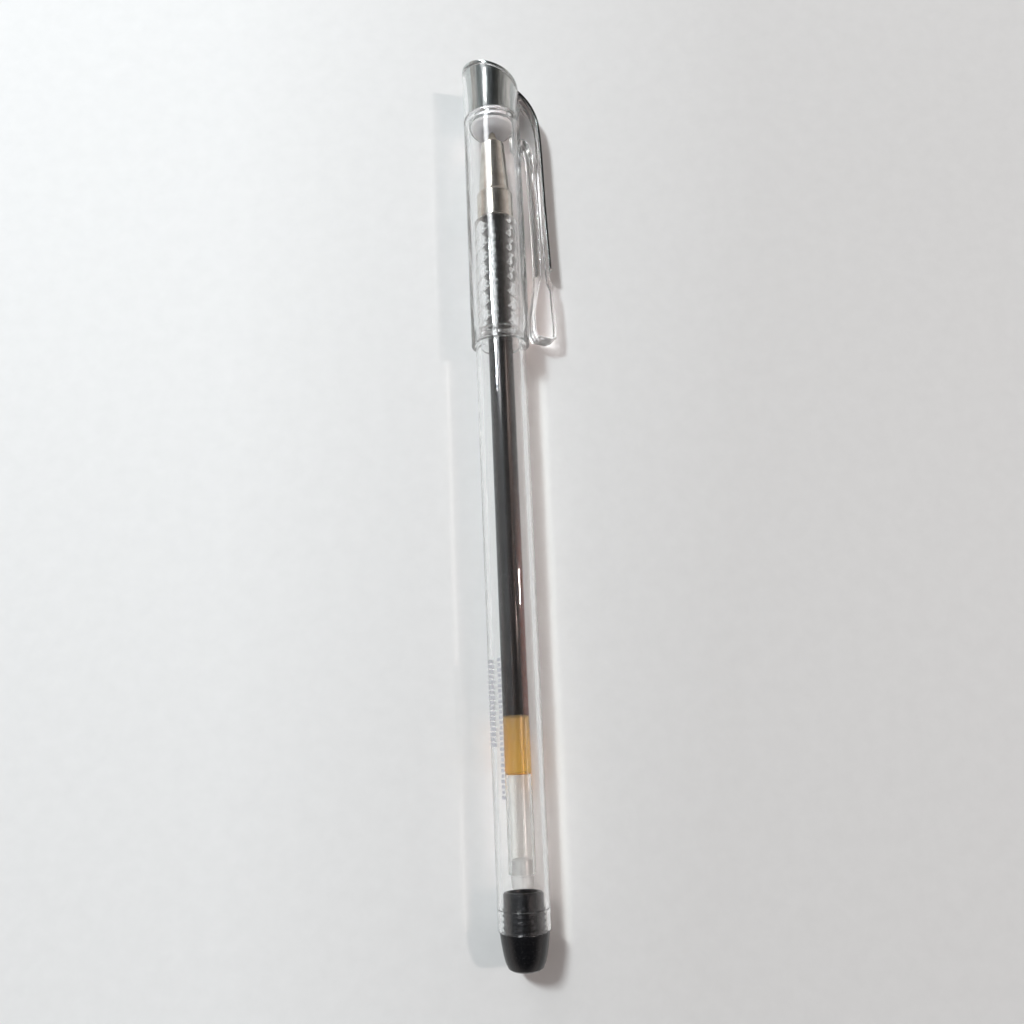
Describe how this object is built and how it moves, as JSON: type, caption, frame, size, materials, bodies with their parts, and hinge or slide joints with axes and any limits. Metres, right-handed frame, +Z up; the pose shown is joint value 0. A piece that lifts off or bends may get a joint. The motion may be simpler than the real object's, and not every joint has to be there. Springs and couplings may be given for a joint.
{
  "type": "capped gel pen",
  "caption": "Clear capped gel pen lying on its side: cap with slanted plated crown and sprung pocket clip, ribbed grip, metal nose, gel refill with follower, black tapered end plug.",
  "frame": {"origin": "on the floor, under the middle of the pen's length and of its width over the clip", "axes": "+Y along the pen towards the cap, +X to the clip's side, +Z up"},
  "size_m": [0.0148, 0.1483, 0.0098],
  "materials": {
    "clear_plastic": "polished clear polystyrene",
    "label_film": null,
    "black_plastic": "gloss black moulded plastic",
    "refill_plastic": "translucent extruded polypropylene",
    "gel_ink": "wet black gel",
    "follower_grease": "clear amber grease",
    "stopper_plastic": "whitish moulded plastic",
    "tip_metal": "turned nickel silver",
    "ball_metal": "polished hard metal",
    "nose_metal": "bright nickel plated metal",
    "plated_plastic": "chrome plated plastic",
    "seal_plastic": "soft milky translucent plastic"
  },
  "bodies": {
    "barrel": {"barrel": "clear_plastic", "barrel_label": "label_film"},
    "plug": {"end_plug": "black_plastic"},
    "refill": {"refill_tube": "refill_plastic", "ink_column": "gel_ink", "ink_follower": "follower_grease", "refill_tail_stopper": "stopper_plastic", "tip_connector": "stopper_plastic", "tip_body": "tip_metal", "ball_spring": "tip_metal"},
    "ball": {"tip_ball": "ball_metal"},
    "nose": {"nose_cone": "nose_metal"},
    "cap": {"cap_shell": "clear_plastic", "crown_insert": "plated_plastic", "cap_seal": "seal_plastic"},
    "clip": {"cap_clip": "clear_plastic", "clip_trim_strip": "plated_plastic"}
  },
  "joints": [
    {"name": "plug_pull", "type": "slide", "parent": "barrel", "child": "plug", "axis": [0, -1, 0], "range_m": [0, 0.009]},
    {"name": "refill_draw", "type": "slide", "parent": "barrel", "child": "refill", "axis": [0, 1, 0], "range_m": [0, 0.115]},
    {"name": "ball_roll", "type": "hinge", "parent": "refill", "child": "ball", "pos_m": [-0.00247, 0.06205, 0.0049], "axis": [1, 0, 0], "continuous": true},
    {"name": "nose_turn", "type": "hinge", "parent": "refill", "child": "nose", "pos_m": [-0.00247, 0.04885, 0.0049], "axis": [0, 1, 0], "range_deg": [0, 1080]},
    {"name": "cap_pull", "type": "slide", "parent": "refill", "child": "cap", "axis": [0, 1, 0], "range_m": [0, 0.045]},
    {"name": "clip_flex", "type": "hinge", "parent": "cap", "child": "clip", "pos_m": [0.0044, 0.06185, 0.0026], "axis": [0.3178, 0, 0.9482], "range_deg": [0, 3.5], "stiffness_Nm_per_rad": 0.6}
  ]
}
